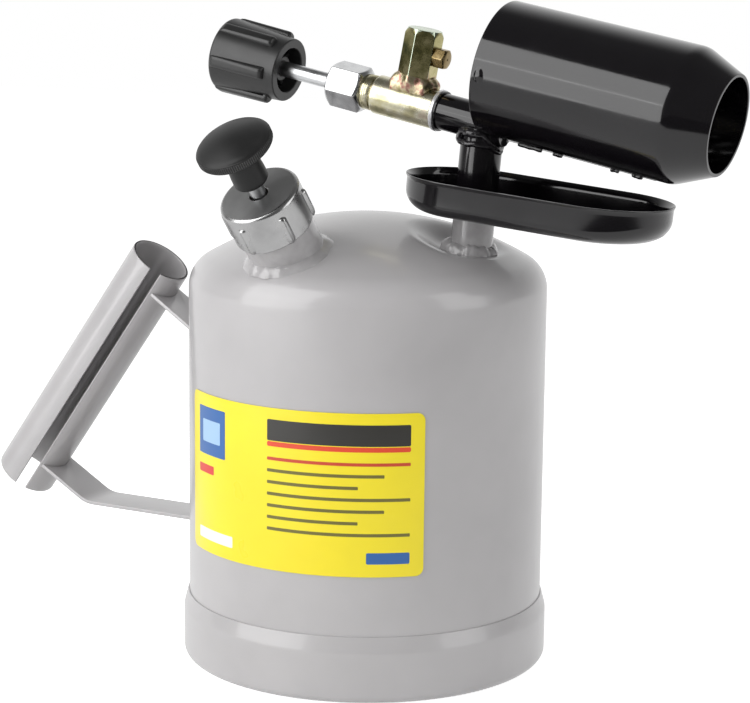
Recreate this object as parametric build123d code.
from build123d import *
from math import atan2, cos, pi, radians, sin, sqrt, tan
import os

# All lengths are in millimetres and all angles in degrees.
# The origin is on the tank's axis at the level that it stands on. +X is the way the flame
# points, +Z is up, and the label and the pump are on the -Y side.

# Tank
tank_radius = 70.0
tank_wall = 1.5
shoulder_height = 147.0
knuckle_radius = 13.5
crown_radius = 126.7
shell_foot_height = 3.0

# Bottom pan, whose skirt sleeves over the wall
skirt_top_height = 25.5
skirt_wall = 2.1
skirt_edge = 0.6
skirt_shoulder = 6.0
foot_rounding = 3.0
foot_wall = 1.9
foot_edge_rounding = 0.8
pan_height = 10.0
pan_plate = 1.8
pan_rounding = 3.0

# Label
label_height = 61.5
label_low = 48.5
label_half_width = 48.5
label_turn = 2.9
label_corner = 3.0
label_thickness = 0.2
label_gap = 0.15

# Fits between fixed pieces, and the overrun of every cut
weld_gap = 0.05
seat_gap = 0.02
running_gap = 0.05
free_gap = 0.3
overrun = 2.0

# Riser from the dome to the valve pipe
riser_from_wall = 25.1
riser_lean = 5.2
riser_radius = 8.0
riser_bore = 4.5
riser_to_valve = 45.5
stub_depth = 6.0
spigot_radius = 6.0
spigot_length = 12.0
weld_width = 3.2
weld_rise = 3.0

# Fuel pickup inside the tank
pickup_radius = 4.0
pickup_bore = 3.0
pickup_clearance = 8.0
filter_radius = 7.0
filter_length = 12.0
filter_wall = 0.8
filter_hole = 1.2
filter_hole_count = 8

# Priming tray
tray_half_length = 53.0
tray_half_width = 27.3
tray_depth = 14.0
tray_wall = 1.0
tray_rounding = 11.5
tray_reach = 25.0
tray_floor_above_dome = 10.0
tray_bead = 1.9
tray_bead_height = 1.8

# Valve line, measured along its axis from the riser and negative towards the knob
burner_tilt = 11.05
pipe_radius = 7.0
pipe_bore = 4.5
pipe_behind = 17.4
pipe_ahead = 10.0
pipe_flange = 0.8
pipe_flange_radius = 7.7
washer_thickness = 1.7
washer_radius = 8.0
body_radius = 7.5
body_length = 27.2
body_chamfer = 0.8
body_thread_length = 8.6
body_thread_radius = 7.0
thread_depth = 0.4
thread_pitch = 1.0
thread_relief = 1.2
body_spigot = 9.0
packing_radius = 4.5
packing_length = 5.0
packing_room = 8.0
chamber_radius = 3.9
chamber_length = 8.0
passage_radius = 1.6

# Vaporiser tube under the shroud
vaporiser_radius = 5.5
vaporiser_bore = 3.5
vaporiser_end = 72.0
vaporiser_spigot = 4.0
plug_length = 6.0
plug_head = 2.0

# Shroud
shroud_offset = 21.5
shroud_radius = 25.4
shroud_wall = 1.4
shroud_back = 2.8
shroud_cone_start = 79.5
shroud_front = 94.2
mouth_radius = 18.8
cone_blend = 5.0
back_plate_setback = 5.0
back_plate_thickness = 1.5
mixer_radius = 10.0
mixer_wall = 1.0
mixer_length = 44.0
mixer_tail = 4.0
mixer_flare = 2.5
air_hole_radius = 3.2
air_hole_count = 7
air_hole_spacing = 35.0
weld_bead_radius = 1.3

# Jet post and jet
post_across_flats = 13.0
post_setback = 11.4
post_height = 28.7
post_chamfer = 1.3
post_bore = 2.2
post_weld_radius = 9.0
post_weld_rise = 3.4
jet_across_flats = 7.0
jet_height = 19.3
jet_head = 5.0
jet_shank_radius = 2.5
jet_shank = 5.0
jet_orifice = 0.4
jet_chamfer = 0.6

# Gland nut
gland_across_flats = 16.0
gland_turn = 12.5
gland_length = 15.7
gland_overlap = 4.4
gland_chamfer = 2.0
gland_rear_chamfer = 1.0
gland_end_wall = 6.0

# Spindle
spindle_radius = 3.0
spindle_tip_radius = 1.2
spindle_tip_length = 4.2

# Control knob
knob_from_gland = 19.9
knob_length = 29.2
knob_face_radius = 12.4
knob_back_radius = 13.6
knob_rib_radius = 15.4
knob_rib_face_radius = 14.6
knob_rib_width = 4.0
knob_rib_count = 6
knob_rib_turn = 38.0
knob_rib_setback = 4.1
knob_rounding = 1.2
knob_dome = 1.5
knob_recess_radius = 8.8
knob_recess_depth = 9.0
knob_hub_radius = 5.2
knob_hub_setback = 3.0
knob_web = 1.6
knob_web_count = 4
screw_radius = 1.9
screw_head_radius = 3.8
screw_head_height = 2.0
screw_length = 10.0
screw_slot = 0.8
screw_sink = 3.0

# Pump neck, measured along the pump's axis from the dome
neck_azimuth = -97.3
neck_from_wall = 19.4
neck_tilt = 36.9
neck_radius = 14.0
neck_bore = 12.2
neck_depth = 8.0
neck_height = 22.0
neck_thread_length = 8.0
neck_thread_pitch = 2.0
neck_thread_depth = 0.7
neck_weld_width = 3.2
neck_weld_rise = 2.6
gasket_thickness = 1.5

# Cap nut
cap_length = 15.8
cap_wall = 1.35
cap_top_radius = 14.9
cap_shoulder = 2.2
cap_rib_height = 1.0
cap_rib_width = 3.5
cap_rib_count = 6
cap_rib_turn = 31.0
cap_rib_setback = 3.95
cap_plate = 1.5
cap_hole = 3.7

# Pump barrel, piston and knob
barrel_radius = 11.0
barrel_wall = 1.0
barrel_length = 112.0
barrel_flange_radius = 13.6
barrel_flange = 1.5
guide_plate = 2.4
guide_spigot = 5.0
rod_radius = 3.0
piston_above_seat = 4.0
piston_nut_across_flats = 8.0
piston_nut_height = 4.0
piston_washer_radius = 7.5
piston_washer_height = 1.5
cup_height = 5.0
cup_wall = 1.5
cup_floor = 1.8
pump_knob_radius = 14.3
pump_knob_rise = 3.6
pump_knob_rim = 3.0
pump_knob_under = 3.0
pump_hub_radius = 6.7
pump_hub_length = 18.2
pump_hub_rounding = 1.6
pump_rod_shown = 5.5
pump_rod_in_knob = 12.0

# Check valve at the barrel's lower end
seat_length = 6.0
seat_port = 2.2
disc_radius = 4.6
disc_height = 2.0
cage_radius = 8.0
cage_wall = 1.2
cage_length = 10.0
cage_hole = 1.8
cage_hole_count = 4
spring_radius = 3.0
spring_wire = 0.35
spring_pitch = 1.35

# Handle
grip_radius = 12.75
grip_wall = 1.2
grip_length = 121.2
grip_lean = 35.9
grip_top_from_wall = 27.7
grip_top_height = 149.7
grip_slot = 4.7
grip_slot_turn = 62.5
bracket_width = 19.0
bracket_thickness = 1.5
bracket_bend = 4.0
bracket_long_bend = 14.0
bracket_flange = 15.0
upper_bracket_drop = 10.4
upper_bracket_slope = 33.0
lower_bracket_drop = 108.0
lower_bracket_slope = 30.0
lower_bracket_height = 44.7
bracket_bead_radius = 1.2

# Worked out from the sizes above
riser_x = tank_radius - riser_from_wall
neck_reach = tank_radius - neck_from_wall
grip_top_reach = tank_radius + grip_top_from_wall
sleeve_radius = tank_radius + weld_gap
skirt_radius = sleeve_radius + skirt_wall
pan_collar_radius = tank_radius - tank_wall - weld_gap
foot_inner_radius = pan_collar_radius - foot_wall
crown_drop = sqrt((crown_radius - knuckle_radius) ** 2 - (tank_radius - knuckle_radius) ** 2)
crown_centre = shoulder_height - crown_drop
body_back = -(pipe_behind + pipe_flange + washer_thickness)
body_front_end = body_back - body_length
body_thread_end = body_front_end - body_thread_length
gland_rear = body_thread_end + gland_overlap
gland_front = gland_rear - gland_length
knob_face = gland_front - knob_from_gland
knob_back = knob_face - knob_length
post_place = body_back - post_setback
flange_low = neck_height + gasket_thickness
flange_top = flange_low + barrel_flange
guide_top = flange_top + guide_plate
cap_top = guide_top + running_gap + cap_plate
cap_low = cap_top - cap_length
cap_inner_radius = neck_radius + free_gap / 2
cap_radius = cap_inner_radius + cap_wall
barrel_low = flange_top - barrel_length
barrel_bore = barrel_radius - barrel_wall
seat_top = barrel_low + seat_length
rod_low = seat_top + piston_above_seat
pump_hub_low = cap_top + pump_rod_shown
pump_knob_low = pump_hub_low + pump_hub_length


def dome_height(reach):
    """Height of the tank's crown at a distance from its axis."""
    return crown_centre + sqrt(crown_radius ** 2 - reach ** 2)


def direction(tilt, azimuth=0.0):
    """Unit vector tilted from the vertical towards an azimuth."""
    flat = sin(radians(tilt))
    return Vector(flat * cos(radians(azimuth)), flat * sin(radians(azimuth)), cos(radians(tilt)))


riser_axis = direction(riser_lean)
riser_foot = Vector(riser_x, 0, dome_height(riser_x))
riser_frame = Plane(origin=riser_foot, x_dir=(riser_axis.Z, 0, -riser_axis.X), z_dir=riser_axis)

valve_axis = Vector(cos(radians(burner_tilt)), 0, -sin(radians(burner_tilt)))
valve_up = Vector(sin(radians(burner_tilt)), 0, cos(radians(burner_tilt)))
valve_point = riser_foot + riser_axis * riser_to_valve
valve_frame = Plane(origin=valve_point, x_dir=valve_up, z_dir=valve_axis)
shroud_frame = Plane(origin=valve_point + valve_up * shroud_offset, x_dir=valve_up, z_dir=valve_axis)
post_frame = Plane(origin=valve_point + valve_axis * post_place, x_dir=valve_axis, z_dir=valve_up)
jet_frame = Plane(origin=post_frame.origin + valve_up * jet_height, x_dir=valve_up, z_dir=valve_axis)

neck_axis = direction(neck_tilt, neck_azimuth)
neck_out = direction(90, neck_azimuth)
neck_foot = neck_out * neck_reach + Vector(0, 0, dome_height(neck_reach))
neck_frame = Plane(origin=neck_foot, x_dir=neck_out.cross(neck_axis), z_dir=neck_axis)

grip_axis = direction(grip_lean)
grip_top = Vector(-grip_top_reach, 0, grip_top_height)
grip_frame = Plane(origin=grip_top, x_dir=(grip_axis.Z, 0, -grip_axis.X), z_dir=grip_axis)


def turned(*points):
    """Solid turned about the local Z axis from an outline of (radius, height) points."""
    outline = Plane.XZ * Polyline(*points, close=True)
    return revolve(make_face(outline), Axis.Z)


def bar(radius, low, high):
    """Round bar along the local Z axis."""
    return Pos(0, 0, (low + high) / 2) * Cylinder(radius, high - low)


def tube(outer, inner, low, high):
    """Round tube along the local Z axis."""
    return bar(outer, low, high) - bar(inner, low - overrun, high + overrun)


def hexagon(across_flats, low, high, turn=0.0):
    """Hexagon bar along the local Z axis, with a flat on +X when it isn't turned."""
    side = RegularPolygon(across_flats / 2, 6, major_radius=False, rotation=turn + 30)
    return Pos(0, 0, low) * extrude(side, high - low)


def pointed_bar(radius, low, high, low_chamfer, high_chamfer):
    """Bar whose ends are turned down, used to chamfer a hexagon's corners."""
    low_edge = low_chamfer / sqrt(3)
    high_edge = high_chamfer / sqrt(3)
    return turned((0, low), (radius - low_chamfer, low), (radius, low + low_edge),
                  (radius, high - high_edge), (radius - high_chamfer, high), (0, high))


def thread_points(radius, depth, pitch, low, high):
    """Outline points of ring-shaped thread crests between two heights."""
    count = max(1, int((high - low) / pitch))
    step = (high - low) / count
    points = []
    for turn in range(count):
        points.append((radius - depth, low + turn * step))
        points.append((radius, low + (turn + 0.5) * step))
    points.append((radius - depth, high))
    return points


def tank_form(inset, low):
    """Solid form of the tank, inset from its outer face, above a height."""
    wall_radius = tank_radius - inset
    knuckle = knuckle_radius - inset
    crown = crown_radius - inset
    knuckle_x = tank_radius - knuckle_radius
    full_turn = atan2(crown_drop, knuckle_x)
    half_turn = full_turn / 2
    join = (knuckle_x + knuckle * cos(full_turn), shoulder_height + knuckle * sin(full_turn))
    middle = (knuckle_x + knuckle * cos(half_turn), shoulder_height + knuckle * sin(half_turn))
    crown_turn = (full_turn + pi / 2) / 2
    crown_middle = (crown * cos(crown_turn), crown_centre + crown * sin(crown_turn))
    top = (0, crown_centre + crown)
    outline = [
        Line((0, low), (wall_radius, low)),
        Line((wall_radius, low), (wall_radius, shoulder_height)),
        ThreePointArc((wall_radius, shoulder_height), middle, join),
        ThreePointArc(join, crown_middle, top),
        Line(top, (0, low)),
    ]
    return revolve(make_face(Plane.XZ * Curve(outline)), Axis.Z)


def placed(frame, solid):
    return frame.location * solid


def make_tank_shell():
    shell = tank_form(0, shell_foot_height) - tank_form(tank_wall, shell_foot_height - overrun)
    shell -= placed(neck_frame, bar(neck_radius + weld_gap, -neck_depth - knuckle_radius, neck_height))
    shell -= placed(riser_frame, bar(riser_radius + weld_gap, -stub_depth - overrun, riser_to_valve))
    return shell


def make_tank_bottom():
    floor_top = pan_height + pan_plate
    groove = shell_foot_height - weld_gap
    pan = turned((0, pan_height), (foot_inner_radius, pan_height), (foot_inner_radius, 0),
                 (skirt_radius, 0), (skirt_radius, skirt_top_height - skirt_shoulder),
                 (sleeve_radius + skirt_edge, skirt_top_height), (sleeve_radius, skirt_top_height),
                 (sleeve_radius, groove), (pan_collar_radius, groove),
                 (pan_collar_radius, floor_top), (0, floor_top))
    foot = pan.edges().filter_by(GeomType.CIRCLE).group_by(Axis.Z)[0].sort_by(SortBy.RADIUS)
    pan = fillet(foot[-1:], foot_rounding)
    foot = pan.edges().filter_by(GeomType.CIRCLE).group_by(Axis.Z)[0].sort_by(SortBy.RADIUS)
    pan = fillet(foot[:1], foot_edge_rounding)
    shoulder = pan.edges().filter_by(GeomType.CIRCLE).filter_by_position(
        Axis.Z, skirt_top_height - skirt_shoulder - skirt_edge, skirt_top_height - skirt_edge)
    pan = fillet(shoulder, skirt_shoulder)
    floor_edge = pan.edges().filter_by(GeomType.CIRCLE).filter_by_position(
        Axis.Z, pan_height - skirt_edge, floor_top + skirt_edge)
    return fillet(floor_edge, min(pan_rounding, pan_height / 2))


def make_label():
    low_radius = tank_radius + label_gap
    skin = tube(low_radius + label_thickness, low_radius, label_low - overrun,
                label_low + label_height + overrun)
    middle = label_low + label_height / 2
    outline = Plane.XZ * RectangleRounded(2 * label_half_width, label_height, label_corner)
    sheet = skin & Pos(0, 0, middle) * extrude(outline, tank_radius + overrun)
    return Rot(0, 0, label_turn) * sheet


def weld_ring(frame, radius, width, rise, inner):
    """Weld fillet round a pipe that stands on the dome."""
    reach = width + knuckle_radius
    cone = turned((0, -reach), (radius + width, -reach), (radius + width, rise / 3),
                  (radius + width / 3, reach), (0, reach))
    over_dome = tank_form(-rise, shoulder_height / 2)
    ring = placed(frame, cone) & over_dome
    ring -= tank_form(-seat_gap, 0)
    return ring - placed(frame, bar(inner, -reach - overrun, reach + overrun))


def make_neck_weld():
    return weld_ring(neck_frame, neck_radius, neck_weld_width, neck_weld_rise, neck_radius + seat_gap)


def make_riser_weld():
    return weld_ring(riser_frame, riser_radius, weld_width, weld_rise, riser_radius + seat_gap)


def make_pump_neck():
    thread_low = neck_height - neck_thread_length
    thread = thread_points(neck_radius, neck_thread_depth, neck_thread_pitch, thread_low, neck_height)
    neck = turned((neck_bore, -neck_depth), (neck_radius, -neck_depth),
                  (neck_radius, thread_low - neck_thread_depth), *thread, (neck_bore, neck_height))
    return placed(neck_frame, neck)


def make_riser_stub():
    shoulder = tray_floor_above_dome
    stub = turned((riser_bore, -stub_depth), (riser_radius, -stub_depth), (riser_radius, shoulder),
                  (spigot_radius, shoulder), (spigot_radius, shoulder + spigot_length),
                  (riser_bore, shoulder + spigot_length))
    return placed(riser_frame, stub)


def pickup_low():
    """Lower end of the pickup tube along the riser's axis."""
    drop = riser_foot.Z - (pan_height + pan_plate + pickup_clearance)
    return -drop / riser_axis.Z


def make_fuel_pickup_tube():
    top = -stub_depth + spigot_length / 2
    return placed(riser_frame, tube(pickup_radius, pickup_bore, pickup_low(), top)
                  + tube(riser_bore - seat_gap, pickup_bore, -stub_depth, top))


def make_pickup_filter():
    low = pickup_low() - filter_wall - free_gap
    mesh = tube(filter_radius, filter_radius - filter_wall, low, low + filter_length)
    mesh += bar(filter_radius, low, low + filter_wall)
    lid = low + filter_length
    mesh += tube(filter_radius, pickup_radius + seat_gap, lid - filter_wall, lid)
    for row in range(2):
        for hole in range(filter_hole_count):
            height = low + filter_length * (row + 1) / 3
            turn = 360 * (hole + row / 2) / filter_hole_count
            drill = Rot(0, 0, turn) * Pos(filter_radius, 0, height) * Rot(0, 90, 0)
            mesh -= drill * Cylinder(filter_hole, filter_radius)
    return placed(riser_frame, mesh)


def oval(inset, low, high, rounding):
    """Oval block with a rounded lower edge, centred on the tray."""
    width = 2 * (tray_half_width - inset)
    block = extrude(SlotOverall(2 * (tray_half_length - inset), width), high - low)
    block = fillet(block.edges().group_by(Axis.Z)[0], rounding)
    return Pos(tray_reach, 0, low) * block


def make_priming_tray():
    low = tray_floor_above_dome + seat_gap
    rim = low + tray_depth
    dish = oval(0, low, rim, tray_rounding)
    bead_low = rim - tray_bead_height
    slot = SlotOverall(2 * tray_half_length + tray_wall, 2 * tray_half_width + tray_wall)
    bead = extrude(slot, tray_bead_height)
    bead = fillet(bead.edges().group_by(Axis.Z)[0] + bead.edges().group_by(Axis.Z)[-1],
                  tray_wall / 2)
    dish += Pos(tray_reach, 0, bead_low) * bead
    dish -= oval(tray_wall, low + tray_wall, rim + overrun, tray_rounding - tray_wall)
    dish -= bar(spigot_radius + free_gap / 2, low - overrun, low + tray_depth)
    return placed(riser_frame, dish)


def make_burner_riser():
    low = tray_floor_above_dome + seat_gap + tray_wall + seat_gap
    spigot_end = tray_floor_above_dome + spigot_length + free_gap
    riser = tube(riser_radius, riser_bore, low, riser_to_valve)
    riser -= bar(spigot_radius + running_gap, low - overrun, spigot_end)
    riser = placed(riser_frame, riser)
    return riser - placed(valve_frame, bar(pipe_radius + weld_gap, -pipe_behind, pipe_behind))


def make_riser_head_weld():
    low = riser_to_valve - pipe_radius - weld_width
    bead = turned((0, low), (riser_radius + weld_width / 3, low),
                  (riser_radius + weld_width * 2 / 3, riser_to_valve - pipe_radius / 2),
                  (riser_radius + weld_width / 3, riser_to_valve), (0, riser_to_valve))
    bead = placed(riser_frame, bead)
    bead -= placed(riser_frame, bar(riser_radius + weld_gap, low - overrun, riser_to_valve + pipe_radius))
    bead -= placed(valve_frame, bar(pipe_radius + weld_gap, -2 * pipe_behind, 2 * pipe_behind))
    return bead


def make_valve_pipe():
    low = -pipe_behind - pipe_flange
    pipe = turned((pipe_bore, low), (pipe_flange_radius, low), (pipe_flange_radius, -pipe_behind),
                  (pipe_radius, -pipe_behind), (pipe_radius, pipe_ahead), (pipe_bore, pipe_ahead))
    pipe = placed(valve_frame, pipe)
    return pipe - placed(riser_frame, bar(riser_bore, 0, riser_to_valve))


def make_vaporiser_tube():
    low = pipe_ahead - vaporiser_spigot
    vaporiser = turned((vaporiser_bore, low), (pipe_bore - seat_gap, low),
                       (pipe_bore - seat_gap, pipe_ahead + seat_gap),
                       (vaporiser_radius, pipe_ahead + seat_gap),
                       (vaporiser_radius, vaporiser_end), (vaporiser_bore, vaporiser_end))
    return placed(valve_frame, vaporiser)


def make_vaporiser_plug():
    plug = bar(vaporiser_bore - seat_gap, vaporiser_end - plug_length + plug_head, vaporiser_end)
    head_low = vaporiser_end + seat_gap
    head = Cone(vaporiser_radius, vaporiser_bore, plug_head, align=(Align.CENTER, Align.CENTER, Align.MIN))
    return placed(valve_frame, plug + bar(vaporiser_bore - seat_gap, vaporiser_end - seat_gap, head_low)
                  + Pos(0, 0, head_low) * head)


def vaporiser_room(gap, low, high):
    """Cutter round the valve pipe and the vaporiser tube, in the shroud's frame."""
    room = bar(vaporiser_radius + gap, low, high)
    room += bar(pipe_radius + gap, low, pipe_ahead + gap)
    return Pos(-shroud_offset, 0, 0) * room


def make_burner_shroud():
    outer = turned((0, shroud_back), (shroud_radius, shroud_back), (shroud_radius, shroud_cone_start),
                   (mouth_radius, shroud_front), (0, shroud_front))
    bend = outer.edges().filter_by(GeomType.CIRCLE).filter_by_position(
        Axis.Z, shroud_cone_start - shroud_wall, shroud_cone_start + shroud_wall)
    outer = fillet(bend, cone_blend)
    inner_radius = shroud_radius - shroud_wall
    inner_mouth = mouth_radius - shroud_wall
    slope = (shroud_radius - mouth_radius) / (shroud_front - shroud_cone_start)
    inner = turned((0, shroud_back - overrun), (inner_radius, shroud_back - overrun),
                   (inner_radius, shroud_cone_start), (inner_mouth, shroud_front),
                   (inner_mouth - slope * overrun, shroud_front + overrun), (0, shroud_front + overrun))
    shroud = outer - inner
    shroud -= vaporiser_room(weld_gap, shroud_back - overrun, vaporiser_end + plug_head + free_gap)
    riser_room = riser_radius + weld_width + weld_gap
    return placed(shroud_frame, shroud) - placed(riser_frame, bar(riser_room, 0, riser_to_valve))


def make_back_plate():
    low = shroud_back + back_plate_setback
    high = low + back_plate_thickness
    plate = tube(shroud_radius - shroud_wall - seat_gap, mixer_radius + seat_gap, low, high)
    middle = (shroud_radius - shroud_wall + mixer_radius) / 2
    for hole in range(air_hole_count):
        turn = (hole - (air_hole_count - 1) / 2) * air_hole_spacing
        drill = Rot(0, 0, turn) * Pos(middle, 0, 0)
        plate -= drill * bar(air_hole_radius, low - overrun, high + overrun)
    return placed(shroud_frame, plate - vaporiser_room(free_gap, low - overrun, high + overrun))


def make_mixer_tube():
    low = shroud_back - mixer_tail
    high = low + mixer_length
    bore = mixer_radius - mixer_wall
    flare = mixer_radius + mixer_flare
    mixer = turned((bore, low + mixer_flare), (flare - mixer_wall, low), (flare, low),
                   (mixer_radius, low + mixer_flare), (mixer_radius, high), (bore, high))
    return placed(shroud_frame, mixer)


def make_shroud_welds():
    """Two beads where the shroud's slot meets the tube beneath it."""
    touch = (shroud_radius ** 2 + shroud_offset ** 2 - vaporiser_radius ** 2) / (2 * shroud_offset)
    side = sqrt(shroud_radius ** 2 - touch ** 2)
    low = pipe_ahead + free_gap + weld_bead_radius
    beads = []
    for hand in (-1, 1):
        bead = Pos(-touch, hand * side, 0) * bar(weld_bead_radius, low, vaporiser_end)
        bead -= bar(shroud_radius + seat_gap, low - overrun, vaporiser_end + overrun)
        bead -= vaporiser_room(seat_gap, low - overrun, vaporiser_end + overrun)
        beads.append(placed(shroud_frame, bead))
    return Compound(children=[solid for bead in beads for solid in bead.solids()])


def make_joint_washer():
    high = -pipe_behind - pipe_flange - seat_gap
    low = body_back + seat_gap
    return placed(valve_frame, tube(washer_radius, pipe_bore + seat_gap, low, high))


def make_valve_body():
    thread = thread_points(body_thread_radius, thread_depth, thread_pitch,
                           body_thread_end + body_chamfer, body_front_end - thread_relief)
    spigot = pipe_bore - seat_gap
    body = turned((0, body_thread_end), (body_thread_radius - thread_depth - body_chamfer, body_thread_end),
                  *thread, (body_thread_radius - thread_depth, body_front_end),
                  (body_radius - body_chamfer, body_front_end),
                  (body_radius, body_front_end + body_chamfer), (body_radius, body_back),
                  (spigot, body_back), (spigot, body_back + body_spigot), (0, body_back + body_spigot))
    chamber_high = post_place + chamber_length / 2
    chamber_low = chamber_high - chamber_length
    body -= bar(packing_radius, body_thread_end - overrun, body_thread_end + packing_room)
    body -= bar(spindle_radius + running_gap, body_thread_end, chamber_low + overrun)
    body -= bar(chamber_radius, chamber_low, chamber_high)
    body -= bar(passage_radius, chamber_high - overrun, body_back + body_spigot + overrun)
    body = placed(valve_frame, body)
    return body - placed(post_frame, bar(post_bore, 0, body_radius + overrun))


def make_jet_post():
    corner = post_across_flats / sqrt(3)
    post = hexagon(post_across_flats, 0, post_height, 0)
    post &= pointed_bar(corner, -overrun, post_height, post_chamfer, post_chamfer)
    post -= bar(post_bore, -overrun, jet_height + jet_shank_radius)
    post = placed(post_frame, post)
    post -= placed(valve_frame, bar(body_radius + weld_gap, body_front_end, body_back))
    return post - placed(jet_frame, bar(jet_shank_radius + seat_gap, 0, post_across_flats))


def make_jet_post_weld():
    top = body_radius + post_weld_rise
    ring = turned((0, 0), (post_weld_radius, 0), (post_weld_radius, body_radius),
                  (post_weld_radius - post_weld_rise / 2, top), (0, top))
    ring -= hexagon(post_across_flats + 2 * seat_gap, -overrun, top + overrun, 0)
    ring = placed(post_frame, ring)
    ring -= placed(valve_frame, bar(body_radius + seat_gap, 2 * body_front_end, 0))
    half = placed(post_frame, Pos(0, 0, post_height / 2) * Box(post_height, post_height, post_height))
    return ring & half


def make_jet_nozzle():
    flat = post_across_flats / 2 + seat_gap
    corner = jet_across_flats / sqrt(3)
    head = hexagon(jet_across_flats, flat, flat + jet_head, 0)
    head &= pointed_bar(corner, flat, flat + jet_head, jet_chamfer, jet_chamfer)
    nozzle = head + bar(jet_shank_radius, flat - jet_shank, flat + jet_chamfer)
    nozzle -= bar(jet_orifice, flat - jet_shank - overrun, flat + jet_head + overrun)
    nozzle -= bar(jet_shank_radius / 2, flat - jet_shank - overrun, flat + jet_head / 2)
    return placed(jet_frame, nozzle)


def make_gland_nut():
    corner = gland_across_flats / sqrt(3)
    nut = hexagon(gland_across_flats, gland_front, gland_rear, gland_turn)
    nut &= pointed_bar(corner, gland_front, gland_rear, gland_chamfer, gland_rear_chamfer)
    nut -= bar(body_thread_radius + seat_gap, gland_front + gland_end_wall, gland_rear + overrun)
    nut -= bar(spindle_radius + running_gap, gland_front - overrun, gland_rear)
    return placed(valve_frame, nut)


def make_gland_packing():
    low = body_thread_end + packing_room - packing_length
    high = body_thread_end + packing_room - seat_gap
    return placed(valve_frame, tube(packing_radius - seat_gap, spindle_radius + running_gap, low, high))


def make_gland_follower():
    low = gland_front + gland_end_wall + seat_gap
    high = body_thread_end + packing_room - packing_length - seat_gap
    return placed(valve_frame, tube(packing_radius - seat_gap, spindle_radius + running_gap, low, high))


def make_needle_spindle():
    chamber_high = post_place + chamber_length / 2
    tip = chamber_high - free_gap
    tip_low = tip - spindle_tip_length
    back = knob_back + screw_sink + screw_head_height + seat_gap
    spindle = turned((0, back), (spindle_radius, back), (spindle_radius, tip_low),
                     (spindle_tip_radius, tip), (0, tip))
    spindle -= bar(screw_radius + running_gap, back - overrun, back + screw_length + free_gap)
    return placed(valve_frame, spindle)


def make_control_knob():
    form = turned((0, knob_back - knob_dome), (knob_back_radius / 2, knob_back - knob_dome / 2),
                  (knob_back_radius - knob_rounding, knob_back),
                  (knob_back_radius, knob_back + knob_rounding), (knob_face_radius, knob_face), (0, knob_face))
    rib_end = knob_face - knob_rib_setback
    for rib in range(knob_rib_count):
        turn = knob_rib_turn + 360 * rib / knob_rib_count
        form += Rot(0, 0, turn) * knob_rib(rib_end)
    form -= bar(knob_recess_radius, knob_face - knob_recess_depth, knob_face + overrun)
    hub = bar(knob_hub_radius, knob_face - knob_recess_depth, knob_face - knob_hub_setback)
    for web in range(knob_web_count):
        turn = 180 * web / knob_web_count + knob_rib_turn
        height = knob_recess_depth / 2
        hub += Rot(0, 0, turn) * Pos(0, 0, knob_face - knob_recess_depth + height / 2) * Box(
            2 * knob_recess_radius, knob_web, height)
    form += hub
    form -= bar(spindle_radius + running_gap, knob_back + screw_sink + screw_head_height, knob_face + overrun)
    form -= bar(screw_radius + running_gap, knob_back - overrun, knob_face)
    form -= bar(screw_head_radius + running_gap, knob_back - knob_dome - overrun, knob_back + screw_sink)
    return placed(valve_frame, form)


def knob_rib(rib_end):
    """One rib along the knob, rounded across its crest and at its valve end."""
    half = knob_rib_width / 2
    low = knob_back + knob_rounding
    crest = knob_rib_radius - half
    face_crest = knob_rib_face_radius - half
    root = knob_recess_radius + half
    back_section = Plane(origin=(0, 0, low)) * rib_section(root, crest, half)
    face_section = Plane(origin=(0, 0, rib_end - half)) * rib_section(root, face_crest, half)
    rib = loft(Sketch() + [back_section, face_section], ruled=True)
    back_end = Pos(crest, 0, low) * Sphere(half)
    face_end = Pos(face_crest, 0, rib_end - half) * Sphere(half)
    return rib + back_end + face_end


def rib_section(root, crest, half):
    block = Pos((root + crest) / 2, 0) * Rectangle(crest - root, 2 * half)
    return block + Pos(crest, 0) * Circle(half)


def make_knob_screw():
    head_low = knob_back + screw_sink - screw_head_height
    shank_end = knob_back + screw_sink + screw_head_height + screw_length
    screw = bar(screw_head_radius, head_low, head_low + screw_head_height - seat_gap)
    screw = fillet(screw.edges().group_by(Axis.Z)[0], screw_slot)
    screw += bar(screw_radius, head_low + screw_slot, shank_end)
    slot_depth = screw_head_height / 2
    slot = Pos(0, 0, head_low) * Box(2 * screw_head_radius + overrun, screw_slot, 2 * slot_depth)
    return placed(valve_frame, screw - slot)


def make_cap_nut():
    cap = turned((0, cap_low), (cap_radius, cap_low), (cap_radius, cap_top - cap_shoulder),
                 (cap_top_radius, cap_top), (0, cap_top))
    shoulder = cap.edges().filter_by(GeomType.CIRCLE).filter_by_position(
        Axis.Z, cap_top - cap_shoulder - seat_gap, cap_top + seat_gap)
    cap = fillet(shoulder, cap_wall)
    for rib in range(cap_rib_count):
        cap += Rot(0, 0, cap_rib_turn + 360 * rib / cap_rib_count) * cap_rib()
    cap -= bar(cap_inner_radius, cap_low - overrun, cap_top - cap_plate)
    cap -= bar(cap_hole, cap_low, cap_top + overrun)
    return placed(neck_frame, cap)


def cap_rib():
    """One raised rib with a round upper end."""
    half = cap_rib_width / 2
    crest = cap_radius + cap_rib_height
    high = cap_top - cap_rib_setback - half
    outline = Pos(0, (cap_low + high) / 2) * Rectangle(cap_rib_width, high - cap_low)
    outline += Pos(0, high) * Circle(half)
    block = extrude(Plane.YZ * outline, crest)
    edge = block.faces().sort_by(Axis.X)[-1].edges()
    block = chamfer(edge, cap_rib_height * 0.6)
    return block & bar(crest, cap_low, cap_top)


def make_neck_gasket():
    low = neck_height + seat_gap
    return placed(neck_frame, tube(barrel_flange_radius, neck_bore + seat_gap, low, flange_low - seat_gap))


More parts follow.
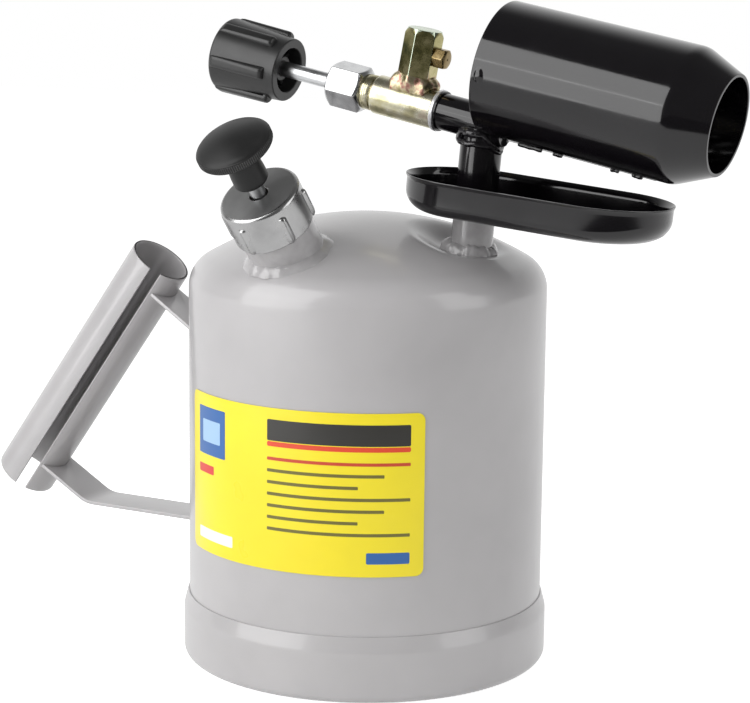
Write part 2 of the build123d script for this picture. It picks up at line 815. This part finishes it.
def make_pump_barrel():
    barrel = tube(barrel_radius, barrel_bore, barrel_low, flange_top)
    return placed(neck_frame, barrel + tube(barrel_flange_radius, barrel_bore, flange_low, flange_top))


def make_rod_guide():
    low = flange_top + seat_gap
    guide = bar(barrel_flange_radius, low, guide_top)
    guide += bar(barrel_bore - seat_gap, low - guide_spigot, low)
    guide -= bar(rod_radius + running_gap, low - guide_spigot - overrun, guide_top + overrun)
    return placed(neck_frame, guide)


def make_pump_rod():
    top = pump_hub_low + pump_rod_in_knob
    return placed(neck_frame, bar(rod_radius, rod_low, top))


def make_pump_knob():
    """Mushroom knob with a crowned top, a rim and a hub round the rod."""
    rim_low = pump_knob_low - pump_knob_rim
    soft = pump_hub_radius - pump_hub_rounding
    flare = pump_hub_radius + pump_knob_under
    crown = (pump_knob_radius ** 2 + pump_knob_rise ** 2) / (2 * pump_knob_rise)
    sphere_centre = pump_knob_low + pump_knob_rise - crown
    crown_middle = sphere_centre + sqrt(crown ** 2 - (pump_knob_radius / 2) ** 2)
    diagonal = sqrt(0.5)
    outline = [
        Line((0, pump_hub_low), (soft, pump_hub_low)),
        ThreePointArc((soft, pump_hub_low),
                      (soft + pump_hub_rounding * diagonal, pump_hub_low + pump_hub_rounding * (1 - diagonal)),
                      (pump_hub_radius, pump_hub_low + pump_hub_rounding)),
        Line((pump_hub_radius, pump_hub_low + pump_hub_rounding), (pump_hub_radius, rim_low - pump_knob_under)),
        ThreePointArc((pump_hub_radius, rim_low - pump_knob_under),
                      (flare - pump_knob_under * diagonal, rim_low - pump_knob_under * (1 - diagonal)),
                      (flare, rim_low)),
        Line((flare, rim_low), (pump_knob_radius, rim_low)),
        Line((pump_knob_radius, rim_low), (pump_knob_radius, pump_knob_low)),
        ThreePointArc((pump_knob_radius, pump_knob_low), (pump_knob_radius / 2, crown_middle),
                      (0, pump_knob_low + pump_knob_rise)),
        Line((0, pump_knob_low + pump_knob_rise), (0, pump_hub_low)),
    ]
    knob = revolve(make_face(Plane.XZ * Curve(outline)), Axis.Z)
    knob -= bar(rod_radius + seat_gap, pump_hub_low - overrun, pump_hub_low + pump_rod_in_knob + seat_gap)
    return placed(neck_frame, knob)


def make_piston_nut():
    low = rod_low + free_gap
    nut = hexagon(piston_nut_across_flats, low, low + piston_nut_height)
    return placed(neck_frame, nut - bar(rod_radius + seat_gap, low - overrun, low + piston_nut_height + overrun))


def make_piston_washer():
    low = rod_low + free_gap + piston_nut_height + seat_gap
    washer = tube(piston_washer_radius, rod_radius + seat_gap, low, low + piston_washer_height)
    return placed(neck_frame, washer)


def make_piston_cup():
    low = rod_low + free_gap + piston_nut_height + 2 * seat_gap + piston_washer_height
    outer = barrel_bore - running_gap
    cup = bar(outer, low + cup_floor - cup_height, low + cup_floor)
    cup -= bar(outer - cup_wall, low - cup_height, low)
    return placed(neck_frame, cup - bar(rod_radius + seat_gap, low - overrun, low + cup_floor + overrun))


def make_valve_seat():
    seat = bar(barrel_bore - seat_gap, barrel_low, seat_top)
    seat -= bar(seat_port, barrel_low - overrun, seat_top + overrun)
    return placed(neck_frame, seat)


def make_valve_cage():
    top = barrel_low - seat_gap
    low = top - cage_length
    cage = bar(cage_radius, low, top) - bar(cage_radius - cage_wall, low + cage_wall, top + overrun)
    cage += tube(barrel_radius, cage_radius - cage_wall, top - cage_wall, top)
    for hole in range(cage_hole_count):
        drill = Rot(0, 0, 360 * hole / cage_hole_count) * Pos(cage_radius, 0, low + cage_length / 3)
        cage -= drill * Rot(0, 90, 0) * Cylinder(cage_hole, cage_radius)
    return placed(neck_frame, cage - bar(seat_port / 2, low - overrun, low + cage_length / 2))


def make_check_disc():
    top = barrel_low - free_gap
    return placed(neck_frame, bar(disc_radius, top - disc_height, top))


def make_check_spring():
    low = barrel_low - seat_gap - cage_length + cage_wall + spring_wire + free_gap / 2
    high = barrel_low - free_gap - disc_height - spring_wire - free_gap / 2
    path = Pos(0, 0, low) * Helix(spring_pitch, high - low, spring_radius)
    start = Plane(origin=path @ 0, z_dir=path % 0)
    return placed(neck_frame, sweep(start * Circle(spring_wire), path))


def make_handle_grip():
    grip = tube(grip_radius, grip_radius - grip_wall, -grip_length, 0)
    reach = 2 * grip_radius
    slot = Rot(0, 0, -grip_slot_turn) * Pos(reach / 2, 0, -grip_length / 2) * Box(
        reach, grip_slot, grip_length + overrun)
    return placed(grip_frame, grip - slot)


def strap(points, radii):
    """Flat strap of even thickness along a bent centre line in the XZ plane."""
    half = bracket_thickness / 2
    sides = []
    for hand in (1, -1):
        side = []
        bends = []
        for index, point in enumerate(points):
            before = (point - points[index - 1]).normalized() if index else None
            after = (points[index + 1] - point).normalized() if index + 1 < len(points) else None
            along = before or after
            normal = Vector(-along.Z, 0, along.X)
            shift = normal * half * hand
            if before and after:
                next_normal = Vector(-after.Z, 0, after.X)
                middle = (normal + next_normal).normalized()
                shift = middle * (half * hand / middle.dot(normal))
                turn = before.X * after.Z - before.Z * after.X
                bends.append(radii[index - 1] + (half if turn * hand < 0 else -half))
            side.append(point + shift)
        sides.append(FilletPolyline(*side, radius=bends))
    first, second = sides
    outline = Wire([*first.edges(), Edge.make_line(first @ 1, second @ 1),
                    *second.edges(), Edge.make_line(second @ 0, first @ 0)])
    sheet = extrude(Face(outline), bracket_width / 2, dir=(0, 1, 0), both=True)
    return sheet


def bracket_body(points, radii):
    body = strap(points, radii)
    body -= placed(grip_frame, bar(grip_radius + weld_gap, -grip_length - overrun, overrun))
    return body - bar(tank_radius + weld_gap, 0, shoulder_height)


def bracket_start(drop):
    return grip_top - grip_axis * drop


def bracket_wall():
    """Distance from the tank's axis to the middle of a flange's thickness."""
    return sqrt(tank_radius ** 2 - (bracket_width / 2) ** 2) + bracket_thickness / 2


def upper_bracket_points():
    start = bracket_start(upper_bracket_drop)
    wall = -bracket_wall()
    drop = (wall - start.X) * tan(radians(upper_bracket_slope))
    corner = Vector(wall, 0, start.Z - drop)
    return [start, corner, corner - Vector(0, 0, bracket_flange)]


def lower_bracket_points():
    start = bracket_start(lower_bracket_drop)
    wall = -bracket_wall()
    run = (start.Z - lower_bracket_height) / tan(radians(lower_bracket_slope))
    bend = Vector(start.X + run, 0, lower_bracket_height)
    corner = Vector(wall, 0, lower_bracket_height)
    return [start, bend, corner, corner + Vector(0, 0, bracket_flange)]


def make_upper_bracket():
    return bracket_body(upper_bracket_points(), [bracket_bend])


def make_lower_bracket():
    return bracket_body(lower_bracket_points(), [bracket_long_bend, bracket_bend])


def make_bracket_welds():
    """A bead across the end of each flange, on the tank's wall."""
    brackets = make_upper_bracket() + make_lower_bracket()
    welds = []
    for end in (upper_bracket_points()[-1], lower_bracket_points()[-1]):
        rod = Rot(90, 0, 0) * Cylinder(bracket_bead_radius + bracket_thickness, bracket_width)
        bead = Pos(-tank_radius, 0, end.Z) * rod - bar(tank_radius + seat_gap, 0, shoulder_height)
        welds.extend((bead - brackets).solids())
    return Compound(children=welds)


makers = {
    "tank_shell": make_tank_shell,
    "tank_bottom": make_tank_bottom,
    "label": make_label,
    "pump_neck": make_pump_neck,
    "neck_weld": make_neck_weld,
    "riser_stub": make_riser_stub,
    "riser_weld": make_riser_weld,
    "fuel_pickup_tube": make_fuel_pickup_tube,
    "pickup_filter": make_pickup_filter,
    "priming_tray": make_priming_tray,
    "burner_riser": make_burner_riser,
    "riser_head_weld": make_riser_head_weld,
    "valve_pipe": make_valve_pipe,
    "vaporiser_tube": make_vaporiser_tube,
    "vaporiser_plug": make_vaporiser_plug,
    "burner_shroud": make_burner_shroud,
    "back_plate": make_back_plate,
    "mixer_tube": make_mixer_tube,
    "shroud_welds": make_shroud_welds,
    "joint_washer": make_joint_washer,
    "valve_body": make_valve_body,
    "jet_post": make_jet_post,
    "jet_post_weld": make_jet_post_weld,
    "jet_nozzle": make_jet_nozzle,
    "gland_nut": make_gland_nut,
    "gland_packing": make_gland_packing,
    "gland_follower": make_gland_follower,
    "needle_spindle": make_needle_spindle,
    "control_knob": make_control_knob,
    "knob_screw": make_knob_screw,
    "cap_nut": make_cap_nut,
    "neck_gasket": make_neck_gasket,
    "pump_barrel": make_pump_barrel,
    "rod_guide": make_rod_guide,
    "pump_rod": make_pump_rod,
    "pump_knob": make_pump_knob,
    "piston_nut": make_piston_nut,
    "piston_washer": make_piston_washer,
    "piston_cup": make_piston_cup,
    "valve_seat": make_valve_seat,
    "valve_cage": make_valve_cage,
    "check_disc": make_check_disc,
    "check_spring": make_check_spring,
    "handle_grip": make_handle_grip,
    "upper_bracket": make_upper_bracket,
    "lower_bracket": make_lower_bracket,
    "bracket_welds": make_bracket_welds,
}


def main():
    os.makedirs("parts", exist_ok=True)
    for name, make in makers.items():
        solid = make()
        export_step(solid, f"parts/{name}.step")
        print(name, "solids", len(solid.solids()), "volume", round(solid.volume, 1))


main()
